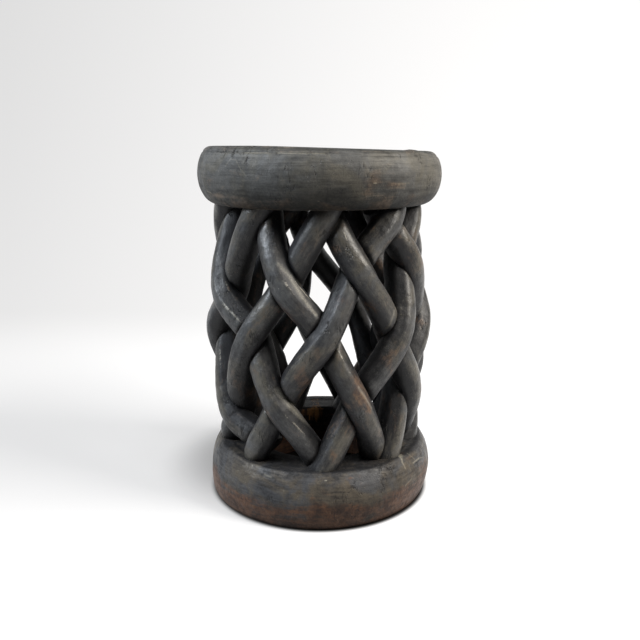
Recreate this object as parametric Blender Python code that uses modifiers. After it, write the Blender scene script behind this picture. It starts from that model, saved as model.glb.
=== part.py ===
"""A carved wooden stool: a thick round seat on an open ring base, joined by a woven lattice.

The lattice is a plain weave of round strands wrapped on a barrel. Nine strands lean right
and nine lean left. Each passes over one strand and under the next, in five rows of crossings.
All lengths are in metres, +Z is up and the origin is on the floor under the middle.
"""
import math

import bmesh
import bpy
from mathutils import Vector

# Overall sizes
STOOL_HEIGHT = 0.4455
FIT_CLEARANCE = 0.0003
MERGE_DISTANCE = 0.00001
TURNED_STEPS = 48
SMOOTH_EDGE_DEGREES = 50

# Seat: a thick disc, widest near its top, with a shallow dished sitting face
SEAT_THICKNESS = 0.0685
SEAT_RADIUS = 0.151
SEAT_WIDEST_DROP = 0.0325
SEAT_RIM_RADIUS = 0.134
SEAT_UNDERSIDE_RADIUS = 0.128
SEAT_DISH_RADIUS = 0.092
SEAT_DISH_DEPTH = 0.005
SEAT_EDGE_POINTS = 5
SEAT_DISH_POINTS = 3

# Base: a ring with a bulging side and a sloped shoulder, hollowed right through. The strands
# stand on a ledge sunk a little below the rim. The shoulder ease sets how early the side
# leaves the rim: 1 makes a quarter ellipse, and more makes a straighter slope.
BASE_HEIGHT = 0.0715
BASE_RADIUS = 0.147
BASE_WIDEST_HEIGHT = 0.036
BASE_RIM_RADIUS = 0.1335
BASE_SHOULDER_EASE = 1.3
BASE_FOOT_RADIUS = 0.1415
BASE_LEDGE_DEPTH = 0.001
BASE_LEDGE_SLOPE = 0.001
BASE_BORE_RADIUS = 0.086
BASE_BORE_ROUNDING = 0.004
BASE_EDGE_POINTS = 5

# Lattice: the barrel that the middle of every strand follows, before it weaves in and out.
# The carver let the barrel lean: its head is off centre by the lean, along X.
LATTICE_FOOT_RADIUS = 0.109
LATTICE_BELLY_RADIUS = 0.123
LATTICE_HEAD_RADIUS = 0.106
LATTICE_BELLY_HEIGHT = 0.215
LATTICE_LEAN = -0.0025
WEAVE_DEPTH = 0.006

# Strand: a round-cornered section, as deep through the barrel as it is broad across it
STRAND_WIDTH = 0.031
STRAND_THICKNESS = 0.032
STRAND_SQUARENESS = 2.5
STRAND_SIDES = 10
STRAND_RINGS_PER_ROW = 4
STRANDS_PER_WAY = 9
END_ROWS = 0.75

# Heights of the five rows of crossings, as shares of the space between ledge and seat.
# The base and the seat cut through the first and the last row.
ROW_HEIGHT_SHARES = (0.00, 0.25, 0.515, 0.755, 1.00)

# How far the carver set each crossing round from its even place, as shares of one spacing.
# The columns run from the back left, round the front, to the back right.
CROSSING_TURN_SHARES = (
    (0.10, -0.02, 0.00, 0.03, 0.03, 0.11, 0.05, 0.00, -0.03),
    (-0.08, -0.05, -0.10, -0.07, 0.06, 0.04, 0.02, 0.00, 0.00),
    (-0.10, -0.05, -0.05, 0.00, 0.07, 0.20, 0.05, 0.05, 0.00),
    (-0.15, -0.05, -0.10, 0.05, 0.06, 0.07, 0.10, 0.00, 0.18),
    (-0.05, 0.00, 0.05, 0.11, 0.14, 0.17, 0.08, 0.00, 0.00),
)

# The same for height, as shares of one row
CROSSING_RISE_SHARES = (
    (0.00, 0.05, 0.10, 0.23, -0.06, -0.20, 0.00, 0.00, 0.00),
    (0.00, -0.15, -0.30, 0.04, -0.01, 0.13, 0.05, 0.00, 0.08),
    (0.00, 0.20, -0.10, -0.08, 0.05, 0.00, 0.00, 0.00, 0.00),
    (0.25, -0.10, -0.30, -0.10, 0.08, 0.11, 0.05, 0.15, 0.08),
    (0.00, 0.00, 0.00, 0.00, 0.02, -0.14, -0.05, 0.00, 0.00),
)

SEAT_UNDERSIDE_HEIGHT = STOOL_HEIGHT - SEAT_THICKNESS
LEDGE_HEIGHT = BASE_HEIGHT - BASE_LEDGE_DEPTH
LATTICE_HEIGHT = SEAT_UNDERSIDE_HEIGHT - LEDGE_HEIGHT
ROW_COUNT = len(ROW_HEIGHT_SHARES)
ROW_RISE = LATTICE_HEIGHT / (ROW_COUNT - 1)
SPACING_ANGLE = 2 * math.pi / STRANDS_PER_WAY


def clear_scene():
    for old in list(bpy.data.objects):
        bpy.data.objects.remove(old, do_unlink=True)


def new_collection(name):
    collection = bpy.data.collections.new(name)
    bpy.context.scene.collection.children.link(collection)
    return collection


def stained_wood(name, colour, roughness):
    material = bpy.data.materials.new(name)
    material.use_nodes = True
    shader = material.node_tree.nodes["Principled BSDF"]
    shader.inputs["Base Color"].default_value = (*colour, 1.0)
    shader.inputs["Roughness"].default_value = roughness
    shader.inputs["Metallic"].default_value = 0.0
    return material


def add_object(name, mesh, collection, material):
    piece = bpy.data.objects.new(name, mesh)
    piece.data.materials.append(material)
    collection.objects.link(piece)
    return piece


def quarter_bulge(near, far, count, ease=1.0):
    """Points of a quarter ellipse between two (radius, height) points, leaving the first
    flat and reaching the second upright, with the two end points. More ease straightens it."""
    points = []
    for step in range(count + 1):
        turn = step / count * math.pi / 2
        radius = near[0] + (far[0] - near[0]) * math.sin(turn) ** ease
        height = far[1] + (near[1] - far[1]) * abs(math.cos(turn)) ** ease
        points.append((radius, height))
    return points


def turned(name, profile, closed, collection, material):
    """A solid turned from a profile of (radius, height) points, run down its outer side."""
    mesh = bpy.data.meshes.new(name)
    edges = [(index, index + 1) for index in range(len(profile) - 1)]
    if closed:
        edges.append((len(profile) - 1, 0))
    mesh.from_pydata([(radius, 0.0, height) for radius, height in profile], edges, [])
    piece = add_object(name, mesh, collection, material)
    screw = piece.modifiers.new("turn", "SCREW")
    screw.axis = "Z"
    screw.angle = 2 * math.pi
    screw.steps = TURNED_STEPS
    screw.render_steps = TURNED_STEPS
    screw.use_merge_vertices = True
    screw.merge_threshold = MERGE_DISTANCE
    screw.use_smooth_shade = True
    return piece


def seat_profile():
    dish_floor = STOOL_HEIGHT - SEAT_DISH_DEPTH
    widest = STOOL_HEIGHT - SEAT_WIDEST_DROP
    profile = [(0.0, dish_floor)]
    for step in range(SEAT_DISH_POINTS + 1):
        share = step / SEAT_DISH_POINTS
        radius = SEAT_DISH_RADIUS + (SEAT_RIM_RADIUS - SEAT_DISH_RADIUS) * share
        rise = (1 - math.cos(share * math.pi)) / 2
        profile.append((radius, dish_floor + SEAT_DISH_DEPTH * rise))
    profile += quarter_bulge(profile.pop(), (SEAT_RADIUS, widest), SEAT_EDGE_POINTS)
    underside = (SEAT_UNDERSIDE_RADIUS, SEAT_UNDERSIDE_HEIGHT)
    profile += reversed(quarter_bulge(underside, (SEAT_RADIUS, widest), SEAT_EDGE_POINTS)[:-1])
    profile.append((0.0, SEAT_UNDERSIDE_HEIGHT))
    return profile


def base_profile():
    widest = (BASE_RADIUS, BASE_WIDEST_HEIGHT)
    rim = (BASE_RIM_RADIUS, BASE_HEIGHT)
    profile = quarter_bulge(rim, widest, BASE_EDGE_POINTS, BASE_SHOULDER_EASE)
    profile += reversed(quarter_bulge((BASE_FOOT_RADIUS, 0.0), widest, BASE_EDGE_POINTS)[:-1])
    profile.append((BASE_BORE_RADIUS + BASE_BORE_ROUNDING, 0.0))
    profile.append((BASE_BORE_RADIUS, BASE_BORE_ROUNDING))
    profile.append((BASE_BORE_RADIUS, LEDGE_HEIGHT - BASE_BORE_ROUNDING))
    profile.append((BASE_BORE_RADIUS + BASE_BORE_ROUNDING, LEDGE_HEIGHT))
    profile.append((BASE_RIM_RADIUS - BASE_LEDGE_SLOPE, LEDGE_HEIGHT))
    return profile


def barrel_radius(height):
    """Radius of the strands' middles at a height: a curve through foot, belly and head."""
    if height < LATTICE_BELLY_HEIGHT:
        end_radius = LATTICE_FOOT_RADIUS
        reach = LATTICE_BELLY_HEIGHT - LEDGE_HEIGHT
    else:
        end_radius = LATTICE_HEAD_RADIUS
        reach = SEAT_UNDERSIDE_HEIGHT - LATTICE_BELLY_HEIGHT
    share = (height - LATTICE_BELLY_HEIGHT) / reach
    return LATTICE_BELLY_RADIUS + (end_radius - LATTICE_BELLY_RADIUS) * share * share


def smooth_value(values, place):
    """Value of a smooth curve through evenly placed values, going straight on past its ends."""
    last = len(values) - 1
    ahead = [2 * values[0] - values[1], *values, 2 * values[last] - values[last - 1]]
    slopes = [(ahead[index + 2] - ahead[index]) / 2 for index in range(last + 1)]
    if place <= 0:
        return values[0] + place * slopes[0]
    if place >= last:
        return values[last] + (place - last) * slopes[last]
    index = int(place)
    share = place - index
    rise = values[index + 1] - values[index]
    bend = slopes[index] * (1 - share) - slopes[index + 1] * share
    eased = share * share * (3 - 2 * share)
    return values[index] + rise * eased + bend * share * (1 - share)


def crossing(row, column):
    """Angle and height of a crossing. Odd rows stand half a spacing round from even ones."""
    places = len(CROSSING_TURN_SHARES[row])
    entry = (column + places // 2) % places
    half_turn = 0.5 * (row % 2)
    angle = (column + half_turn + CROSSING_TURN_SHARES[row][entry]) * SPACING_ANGLE
    height = LEDGE_HEIGHT + ROW_HEIGHT_SHARES[row] * LATTICE_HEIGHT
    return angle, height + CROSSING_RISE_SHARES[row][entry] * ROW_RISE


def crossing_column(way, foot, row):
    """Column of the crossing that a strand passes in a row, from the column of its foot."""
    if way > 0:
        return foot + row // 2
    return foot - (row + 1) // 2


def strand_route(way, foot):
    """Function giving the middle of a strand and the way out of the barrel there, at a place
    counted in rows from its foot."""
    stops = [crossing(row, crossing_column(way, foot, row)) for row in range(ROW_COUNT)]
    angles = [angle for angle, height in stops]
    heights = [height for angle, height in stops]

    def point(place):
        angle = smooth_value(angles, place)
        height = smooth_value(heights, place)
        radius = barrel_radius(height) + way * WEAVE_DEPTH * math.cos(math.pi * place)
        lean = LATTICE_LEAN * (height - LEDGE_HEIGHT) / LATTICE_HEIGHT
        outward = Vector((math.sin(angle), -math.cos(angle), 0.0))
        return Vector((lean, 0.0, height)) + outward * radius, outward

    return point


def section_offsets(swell):
    """Points round a strand's section, as (across, outward) pairs, enlarged by a swell."""
    half_width = STRAND_WIDTH / 2 + swell
    half_thickness = STRAND_THICKNESS / 2 + swell
    power = 2 / STRAND_SQUARENESS
    offsets = []
    for side in range(STRAND_SIDES):
        turn = (side + 0.5) / STRAND_SIDES * 2 * math.pi
        across = math.copysign(abs(math.cos(turn)) ** power, math.cos(turn))
        outward = math.copysign(abs(math.sin(turn)) ** power, math.sin(turn))
        offsets.append((across * half_width, outward * half_thickness))
    return offsets


def strand_mesh(way, foot, swell):
    """Loft of the section along a strand's route, square to it and facing out of the barrel."""
    route = strand_route(way, foot)
    offsets = section_offsets(swell)
    ring_count = round((ROW_COUNT - 1 + 2 * END_ROWS) * STRAND_RINGS_PER_ROW) + 1
    nudge = 0.5 / STRAND_RINGS_PER_ROW
    form = bmesh.new()
    rings = []
    for index in range(ring_count):
        place = index / STRAND_RINGS_PER_ROW - END_ROWS
        middle, outward = route(place)
        forward = (route(place + nudge)[0] - route(place - nudge)[0]).normalized()
        across = forward.cross(outward).normalized()
        outward = across.cross(forward)
        rings.append([form.verts.new(middle + across * a + outward * b) for a, b in offsets])
    for lower, upper in zip(rings, rings[1:]):
        for side in range(STRAND_SIDES):
            after = (side + 1) % STRAND_SIDES
            form.faces.new((lower[side], lower[after], upper[after], upper[side]))
    bmesh.ops.triangulate(form, faces=form.faces, quad_method="FIXED")
    form.faces.new(rings[0])
    form.faces.new(reversed(rings[-1]))
    bmesh.ops.recalc_face_normals(form, faces=form.faces)
    return form


def trim_level(form, height, normal_z):
    """Cut a mesh level at a height, drop what lies past it and close the cut."""
    geometry = form.verts[:] + form.edges[:] + form.faces[:]
    cut = bmesh.ops.bisect_plane(form, geom=geometry, plane_co=(0.0, 0.0, height),
                                 plane_no=(0.0, 0.0, normal_z), clear_outer=True)
    rim = [item for item in cut["geom_cut"] if isinstance(item, bmesh.types.BMEdge)]
    bmesh.ops.contextual_create(form, geom=rim)


def finish_mesh(form, name):
    mesh = bpy.data.meshes.new(name)
    form.to_mesh(mesh)
    form.free()
    mesh.shade_smooth()
    mesh.set_sharp_from_angle(angle=math.radians(SMOOTH_EDGE_DEGREES))
    return mesh


def add_strand(name, way, foot, collection, material):
    """A strand, trimmed level where it stands on the ledge and where it meets the seat."""
    form = strand_mesh(way, foot, 0.0)
    trim_level(form, LEDGE_HEIGHT + FIT_CLEARANCE, -1.0)
    trim_level(form, SEAT_UNDERSIDE_HEIGHT - FIT_CLEARANCE, 1.0)
    return add_object(name, finish_mesh(form, name), collection, material)


def add_strand_cutter(name, way, foot, collection, material):
    """The room that a strand needs where it lies over another."""
    form = strand_mesh(way, foot, FIT_CLEARANCE)
    cutter = add_object(name, finish_mesh(form, name), collection, material)
    cutter.hide_render = True
    cutter.display_type = "WIRE"
    return cutter


def lap_under(strand, cutter):
    """Let a strand pass under another by cutting the other's room out of it."""
    lap = strand.modifiers.new("lap under " + cutter.name, "BOOLEAN")
    lap.operation = "DIFFERENCE"
    lap.solver = "EXACT"
    lap.object = cutter


def build_lattice(collection, cutters, material):
    """Both ways of the weave. Right-leaning strands lie over in the even rows."""
    names = {1: "right_strand", -1: "left_strand"}
    strands = {}
    rooms = {}
    for way, stem in names.items():
        for foot in range(STRANDS_PER_WAY):
            label = f"{stem}_{foot + 1}"
            strands[way, foot] = add_strand(label, way, foot, collection, material)
            rooms[way, foot] = add_strand_cutter(label + "_room", way, foot, cutters, material)
    for (way, foot), strand in strands.items():
        for row in range(ROW_COUNT):
            lies_over = (row % 2 == 0) == (way > 0)
            if lies_over:
                continue
            column = crossing_column(way, foot, row)
            other = (column - crossing_column(-way, 0, row)) % STRANDS_PER_WAY
            lap_under(strand, rooms[-way, other])


def build():
    clear_scene()
    stool = new_collection("bamileke_stool")
    cutters = new_collection("cutters")
    seat_wood = stained_wood("seat wood", (0.040, 0.038, 0.035), 0.55)
    base_wood = stained_wood("base wood", (0.048, 0.038, 0.030), 0.60)
    strand_wood = stained_wood("strand wood", (0.036, 0.036, 0.036), 0.50)
    turned("seat", seat_profile(), False, stool, seat_wood)
    turned("base_ring", base_profile(), True, stool, base_wood)
    build_lattice(stool, cutters, strand_wood)


build()
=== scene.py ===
import math

import bmesh
import bpy
import numpy as np
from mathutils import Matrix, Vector, noise


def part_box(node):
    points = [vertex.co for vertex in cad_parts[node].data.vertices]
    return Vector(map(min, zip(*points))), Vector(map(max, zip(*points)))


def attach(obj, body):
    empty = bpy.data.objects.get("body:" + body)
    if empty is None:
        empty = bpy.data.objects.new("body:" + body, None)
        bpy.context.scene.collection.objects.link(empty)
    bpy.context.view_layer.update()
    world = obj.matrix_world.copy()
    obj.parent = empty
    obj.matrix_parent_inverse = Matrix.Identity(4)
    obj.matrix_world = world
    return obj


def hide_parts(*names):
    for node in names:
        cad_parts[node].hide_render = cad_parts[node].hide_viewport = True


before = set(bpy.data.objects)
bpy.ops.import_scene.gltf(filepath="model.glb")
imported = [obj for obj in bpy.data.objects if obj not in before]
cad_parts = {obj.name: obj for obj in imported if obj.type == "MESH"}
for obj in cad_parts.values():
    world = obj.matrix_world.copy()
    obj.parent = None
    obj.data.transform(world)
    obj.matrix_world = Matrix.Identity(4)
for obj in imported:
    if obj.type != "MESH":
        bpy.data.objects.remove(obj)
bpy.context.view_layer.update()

# Camera. It stands level with the seat, close in front of the stool, and looks down at
# the belly of the lattice.
CAMERA_SETBACK = 0.8945
CAMERA_SIDESTEP = 0.0006
CAMERA_HEIGHT = 0.4443
CAMERA_DROP_ANGLE = 0.2416
CAMERA_LENS_MM = 39.54

camera_data = bpy.data.cameras.new("camera")
camera_data.lens = CAMERA_LENS_MM
camera = bpy.data.objects.new("camera", camera_data)
camera.location = (CAMERA_SIDESTEP, -CAMERA_SETBACK, CAMERA_HEIGHT)
camera.rotation_euler = (math.pi / 2 - CAMERA_DROP_ANGLE, 0.0, 0.0)
bpy.context.scene.collection.objects.link(camera)
bpy.context.scene.camera = camera

# Floor and backdrop. One pale sheet lies flat under the stool and sweeps up behind it. It
# takes the stool's soft shadow, glows a little to the eye so that it reads as white, and is
# painted dark right under the ring, where no light gets in, as painted shade. Its glow is
# also cut close round the ring and halved in a patch off to the left: a painted shadow.
FLOOR_FRONT = -2.5
FLOOR_HALF_WIDTH = 3.0
SWEEP_START = 0.32
SWEEP_RADIUS = 1.0
BACKDROP_TOP = 2.6
SWEEP_STEPS = 24
FLOOR_COLOUR = (0.47, 0.48, 0.50, 1.0)
FLOOR_BOUNCE_COLOUR = (0.07, 0.07, 0.07, 1.0)
FLOOR_GLOW = 0.62
BACKDROP_GLOW = 0.64
GLOW_FADE_START = 0.0
GLOW_FADE_END = 0.32
SWEEP_DIM = 0.155
SWEEP_DIM_HEIGHT = 0.08
# Painted shadow on the floor: the glow is cut inside these radii round the ring, the paint turns
# dark under it, and the glow is halved round a middle off to the left.
SHADE_INNER_RADIUS = 0.139
SHADE_OUTER_RADIUS = 0.151
CONTACT_SHADE_COLOUR = (0.015, 0.013, 0.012, 1.0)
CONTACT_SHADE_INNER_RADIUS = 0.141
CONTACT_SHADE_OUTER_RADIUS = 0.147
SHADOW_MIDDLE = (-0.05, 0.06, 0.0)
SHADOW_INNER_RADIUS = 0.10
SHADOW_OUTER_RADIUS = 0.19
SHADOW_GLOW_SHARE = 0.5


def add_node(tree, kind, inputs=None, **settings):
    """A shader node with its settings, and its inputs set to values or wired to sockets."""
    made = tree.nodes.new(kind)
    for name, value in settings.items():
        setattr(made, name, value)
    for name, value in (inputs or {}).items():
        if isinstance(value, bpy.types.NodeSocket):
            tree.links.new(value, made.inputs[name])
        else:
            made.inputs[name].default_value = value
    return made


def calculate(tree, operation, *values):
    made = add_node(tree, "ShaderNodeMath", dict(enumerate(values)), operation=operation)
    return made.outputs[0]


def ease(tree, value, low, high, start=0.0, end=1.0):
    """Smooth step: start below the low value, end above the high one."""
    limits = {"Value": value, "From Min": low, "From Max": high, "To Min": start, "To Max": end}
    made = add_node(tree, "ShaderNodeMapRange", limits, interpolation_type="SMOOTHSTEP")
    return made.outputs["Result"]


def vector_math(tree, operation, first, second=(0.0, 0.0, 0.0), output="Value"):
    made = add_node(tree, "ShaderNodeVectorMath", {0: first, 1: second}, operation=operation)
    return made.outputs[output]


def blend(tree, share, first, second):
    """Colour between two colours."""
    made = add_node(tree, "ShaderNodeMix", {0: share, 6: first, 7: second}, data_type="RGBA")
    return made.outputs[2]


def new_material(name):
    made = bpy.data.materials.new(name)
    made.use_nodes = True
    made.node_tree.nodes.clear()
    return made, made.node_tree


sweep_line = [(FLOOR_FRONT, 0.0)]
for step in range(SWEEP_STEPS + 1):
    turn = step / SWEEP_STEPS * math.pi / 2
    sweep_line.append((SWEEP_START + SWEEP_RADIUS * math.sin(turn),
                       SWEEP_RADIUS * (1 - math.cos(turn))))
sweep_line.append((SWEEP_START + SWEEP_RADIUS, BACKDROP_TOP))

sweep = bmesh.new()
edge_lines = [[sweep.verts.new((side * FLOOR_HALF_WIDTH, y, z)) for y, z in sweep_line]
              for side in (-1, 1)]
for index in range(len(sweep_line) - 1):
    left, right = edge_lines
    sweep.faces.new((left[index], right[index], right[index + 1], left[index + 1]))
sweep_mesh = bpy.data.meshes.new("floor_sweep")
sweep.to_mesh(sweep_mesh)
sweep.free()
sweep_mesh.shade_smooth()
floor = bpy.data.objects.new("floor_sweep", sweep_mesh)
bpy.context.scene.collection.objects.link(floor)

floor_paint, tree = new_material("pale floor")
place = add_node(tree, "ShaderNodeTexCoord").outputs["Object"]
split = add_node(tree, "ShaderNodeSeparateXYZ", {"Vector": place}).outputs
glow = ease(tree, split["Y"], GLOW_FADE_START, GLOW_FADE_END, FLOOR_GLOW, BACKDROP_GLOW)
dimmed = ease(tree, split["Z"], 0.0, SWEEP_DIM_HEIGHT, 0.0, SWEEP_DIM)
glow = calculate(tree, "SUBTRACT", glow, dimmed)
# Painted shadow: less glow close round the ring and in a patch to the left, dark paint under it.
distance_out = vector_math(tree, "LENGTH", place)
shade = ease(tree, distance_out, SHADE_INNER_RADIUS, SHADE_OUTER_RADIUS)
clear = ease(tree, distance_out, CONTACT_SHADE_INNER_RADIUS, CONTACT_SHADE_OUTER_RADIUS)
off_shadow = vector_math(tree, "DISTANCE", place, SHADOW_MIDDLE)
shadow = ease(tree, off_shadow, SHADOW_INNER_RADIUS, SHADOW_OUTER_RADIUS, SHADOW_GLOW_SHARE)
shade = calculate(tree, "MULTIPLY", shade, shadow)
seen = add_node(tree, "ShaderNodeLightPath").outputs
looked_at = calculate(tree, "MAXIMUM", seen["Is Camera Ray"], seen["Is Glossy Ray"])
looked_at = calculate(tree, "MAXIMUM", looked_at, seen["Is Transmission Ray"])
glow = calculate(tree, "MULTIPLY", calculate(tree, "MULTIPLY", glow, shade), looked_at)
paint = blend(tree, looked_at, FLOOR_BOUNCE_COLOUR, FLOOR_COLOUR)
paint = blend(tree, clear, CONTACT_SHADE_COLOUR, paint)
matt = add_node(tree, "ShaderNodeBsdfDiffuse", {"Color": paint})
light = add_node(tree, "ShaderNodeEmission", {"Strength": glow})
both = add_node(tree, "ShaderNodeAddShader", {0: matt.outputs[0], 1: light.outputs[0]})
add_node(tree, "ShaderNodeOutputMaterial", {"Surface": both.outputs[0]})
floor.data.materials.append(floor_paint)

# Lamps. A big warm soft box at the right front is the main light and throws the soft shadow
# to the left. A cool one at the left, which spares the floor, and a weak one overhead fill
# the rest.
LAMPS = {
    "right_box": {"place": (1.45, -0.50, 1.38), "size": 0.9, "watts": 60.0,
                  "colour": (1.0, 0.95, 0.88)},
    "left_box": {"place": (-1.45, -0.45, 1.38), "size": 0.9, "watts": 54.0,
                 "colour": (0.84, 0.91, 1.0)},
    "top_box": {"place": (0.0, -0.80, 2.1), "size": 1.0, "watts": 18.0,
                "colour": (1.0, 1.0, 1.0)},
}
LAMPS_OFF_THE_FLOOR = ("left_box",)
LAMP_TARGET_HEIGHT = 0.22

for name, lamp in LAMPS.items():
    data = bpy.data.lights.new(name, "AREA")
    data.size = lamp["size"]
    data.energy = lamp["watts"]
    data.color = lamp["colour"]
    box = bpy.data.objects.new(name, data)
    box.location = lamp["place"]
    aim = Vector((0.0, 0.0, LAMP_TARGET_HEIGHT)) - box.location
    box.rotation_euler = aim.to_track_quat("-Z", "Y").to_euler()
    bpy.context.scene.collection.objects.link(box)
    if name in LAMPS_OFF_THE_FLOOR:
        spared = bpy.data.collections.new(name + "_spares")
        spared.objects.link(floor)
        box.light_linking.receiver_collection = spared
        spared.collection_objects[0].light_linking.link_state = "EXCLUDE"

# World. A faint cool fill from all sides, for the hollows that no lamp reaches. The camera
# itself sees it as plain white.
WORLD_COLOUR = (0.92, 0.95, 1.0, 1.0)
WORLD_LEVEL = 0.035
WORLD_SEEN_COLOUR = (1.0, 1.0, 1.0, 1.0)
WORLD_SEEN_LEVEL = 0.98

world = bpy.data.worlds.new("studio")
bpy.context.scene.world = world
world.use_nodes = True
tree = world.node_tree
tree.nodes.clear()
seen = add_node(tree, "ShaderNodeLightPath").outputs["Is Camera Ray"]
level = ease(tree, seen, 0.0, 1.0, WORLD_LEVEL, WORLD_SEEN_LEVEL)
paint = blend(tree, seen, WORLD_COLOUR, WORLD_SEEN_COLOUR)
backing = add_node(tree, "ShaderNodeBackground", {"Color": paint, "Strength": level})
add_node(tree, "ShaderNodeOutputWorld", {"Surface": backing.outputs[0]})
bpy.context.scene.view_settings.view_transform = "Standard"

# Base ring. The foot of the log, hollowed right through and rounded outside, with a ledge
# that the strands stand on. The stain is worn to reddish brown low down, and the bore was
# never stained.
BASE_RADIUS = 0.1467
BASE_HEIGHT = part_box("base_ring")[1].z
BASE_WIDEST_HEIGHT = 0.036
BASE_RIM_RADIUS = 0.1330
BASE_SHOULDER_EASE = 1.3
BASE_FOOT_RADIUS = 0.1415
BASE_FOOT_ROUNDING = 0.003
BASE_LEDGE_DEPTH = 0.001
BASE_LEDGE_SLOPE = 0.008
BASE_RIM_SOFTENINGS = 20
BASE_RIM_SOFT_HEIGHT = 0.058
BASE_BORE_RADIUS = 0.086
BASE_BORE_ROUNDING = 0.004
BASE_FOOT_SHIFT = -0.0020
BASE_WAIST_SHIFT = 0.0014
BASE_EDGE_POINTS = 20
BASE_FOOT_POINTS = 8
BASE_CORNER_POINTS = 5
BASE_BORE_POINTS = 16
BASE_LEDGE_POINTS = 12
BASE_SLOPE_POINTS = 8
LEDGE_STEP_RADIUS = 0.121
LEDGE_STEP_DEPTH = 0.0006
BASE_SPOTS = ((52, 0.066, 0.010, 0.006, 0.4), (43, 0.038, 0.025, 0.008, 0.4),
              (12, 0.066, 0.016, 0.004, 0.3), (-25, 0.063, 0.008, 0.003, 0.3),
              (68, 0.042, 0.018, 0.014, 0.8), (-68, 0.036, 0.018, 0.014, 0.7))
BASE_SCUFFS = (((51, 0.0715), (48.5, 0.0705), 0.0020, 0.6),
               ((48.5, 0.0705), (47.5, 0.066), 0.0024, 0.7),
               ((47.5, 0.066), (48, 0.059), 0.0018, 0.6),
               ((55, 0.070), (58, 0.061), 0.0012, 0.3),
               ((55.5, 0.059), (62.5, 0.059), 0.0016, 0.7),
               ((62.5, 0.059), (66.5, 0.056), 0.0012, 0.6),
               ((46, 0.039), (51, 0.043), 0.0014, 0.4),
               ((-28.5, 0.063), (-24.5, 0.062), 0.0018, 0.35),
               ((2.5, 0.064), (3.5, 0.064), 0.0010, 0.9))
# Ledge shares: partly grime, partly painted shade and painted light; the back share is painted
# shade.
LEDGE_WEAR_AND_SHADE_RADII = (0.090, 0.100, 0.120, 0.127, 0.132, 0.138, 0.143)
LEDGE_WEAR_AND_SHADE_SHARES = (0.60, 0.0, -0.25, -0.10, 0.22, 0.12, 0.0)
BACK_LEDGE_SHADE_SHARE = 0.95
BORE_RAW_SHARE = 0.25
BORE_BARE_SHARE = 0.35
BORE_RAW_AND_LIT_SPOTS = ((-176, 0.062, 0.013, 0.015, 1.0), (-131, 0.030, 0.008, 0.012, 0.9))
BASE_BARE_SHARE = 0.95
BASE_BARE_HEIGHT = 0.042
BASE_BARE_FADE = 0.015
FOOT_SHADE_SHARE = 0.9
FOOT_SHADE_HEIGHT = 0.0045
FOOT_SHADE_FADE = 0.0025
BASE_STREAK_SCALE = (0.15, 0.15, 1.5)
# Wear with painted light and shade: faces up and out are painted lighter, flanks darker.
WEAR_AND_LIGHT_SHARE = 0.80
WEAR_AND_SHADE_TURN_SHARE = 0.75
WEAR_AND_LIGHT_TOP_SHARE = 0.30
WEAR_AND_LIGHT_MIDDLE_SHARE = 0.7
RAW_MIDDLE_SHARE = 0.3
MOTTLE_HEIGHT = 0.5
SPOT_FACING_LIMIT = -0.3
SKIN_RADIUS = 0.14
TURNED_STEPS = 360
WAVE_DEPTH = 0.0009
WAVE_LENGTH = 0.050
TOOL_DEPTH = 0.00035
TOOL_LENGTH = 0.011
BORE_ROUGHNESS = 2
LEDGE_HEIGHT = BASE_HEIGHT - BASE_LEDGE_DEPTH


def quarter_bulge(near, far, count, power=1.0):
    """Points of a quarter ellipse between two (radius, height) points, leaving the first
    flat and reaching the second upright. More power straightens it."""
    points = []
    for step in range(count + 1):
        turn = step / count * math.pi / 2
        points.append((near[0] + (far[0] - near[0]) * math.sin(turn) ** power,
                       far[1] + (near[1] - far[1]) * abs(math.cos(turn)) ** power))
    return points


def straight(near, far, count):
    """Even points from near up to, but without, far."""
    return [(near[0] + (far[0] - near[0]) * step / count,
             near[1] + (far[1] - near[1]) * step / count) for step in range(count)]


def hand_cut(point, wave, tool):
    """How far a chisel left the surface off its true shape at a point."""
    slow = noise.noise(point / WAVE_LENGTH)
    quick = noise.noise(point / TOOL_LENGTH)
    return slow * wave + quick * tool


def turned_mesh(name, profile, closed, reshape):
    """A turned form. Each point goes through reshape(angle, radius, height)."""
    form = bmesh.new()
    rings = []
    for step in range(TURNED_STEPS):
        angle = 2 * math.pi * step / TURNED_STEPS
        rings.append([form.verts.new(reshape(angle, *spot)) for spot in profile])
    for step, ring in enumerate(rings):
        after = rings[(step + 1) % TURNED_STEPS]
        for index in range(len(profile) - (0 if closed else 1)):
            onward = (index + 1) % len(profile)
            form.faces.new((ring[index], after[index], after[onward], ring[onward]))
    if not closed:
        middles = [form.faces.new([ring[0] for ring in rings]),
                   form.faces.new([ring[-1] for ring in reversed(rings)])]
        bmesh.ops.poke(form, faces=middles)
    bmesh.ops.recalc_face_normals(form, faces=form.faces)
    mesh = bpy.data.meshes.new(name)
    form.to_mesh(mesh)
    form.free()
    mesh.shade_smooth()
    return mesh


def paint_attribute(mesh, name, values):
    """Keep a number, or a row of three, at each point of a mesh for its material."""
    flat = np.ndim(values) == 1
    layer = mesh.attributes.get(name)
    if layer is None:
        layer = mesh.attributes.new(name, "FLOAT" if flat else "FLOAT_VECTOR", "POINT")
    layer.data.foreach_set("value" if flat else "vector", np.ravel(values))


def painted(mesh, name):
    """The numbers that a mesh keeps at its points."""
    values = np.empty(len(mesh.vertices))
    mesh.attributes[name].data.foreach_get("value", values)
    return values


def fading(values, limit, fade):
    """1 well below a limit, falling to 0 at it, over the fade just under it."""
    return np.clip((limit - values) / fade, 0, 1)


def mesh_points(mesh):
    """Places and normals of a mesh's points."""
    places = np.empty(3 * len(mesh.vertices))
    normals = np.empty(3 * len(mesh.vertices))
    mesh.vertices.foreach_get("co", places)
    mesh.vertex_normals.foreach_get("vector", normals)
    return places.reshape(-1, 3), normals.reshape(-1, 3)


def facing_out(places, normals):
    """How far each point's normal turns away from the stool's axis."""
    reach = np.hypot(places[:, 0], places[:, 1])
    return (normals[:, :2] * places[:, :2]).sum(axis=1) / np.maximum(reach, 0.001)


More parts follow.
